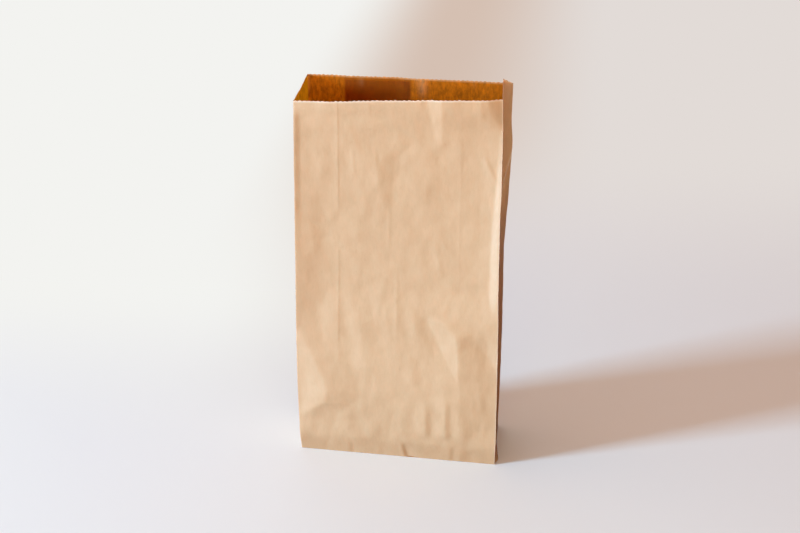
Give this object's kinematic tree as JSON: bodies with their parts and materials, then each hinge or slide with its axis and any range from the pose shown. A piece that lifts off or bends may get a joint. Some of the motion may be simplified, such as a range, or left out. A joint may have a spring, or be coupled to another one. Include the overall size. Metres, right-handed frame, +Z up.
{
  "type": "paper bag",
  "caption": "Plain brown kraft paper bag with gusseted sides, a flat block bottom and a saw-cut open mouth, standing open and lightly creased.",
  "frame": {"origin": "under the middle of the bag, on the surface that it stands on", "axes": "+Z up through the open mouth, +X to the right and -Y out of the front panel, with the glued seam on the back panel at +Y"},
  "size_m": [0.1568, 0.068, 0.2856],
  "materials": {
    "kraft_paper": "matt unbleached kraft paper"
  },
  "bodies": {
    "root": {"paper_bag": "kraft_paper"}
  },
  "joints": []
}
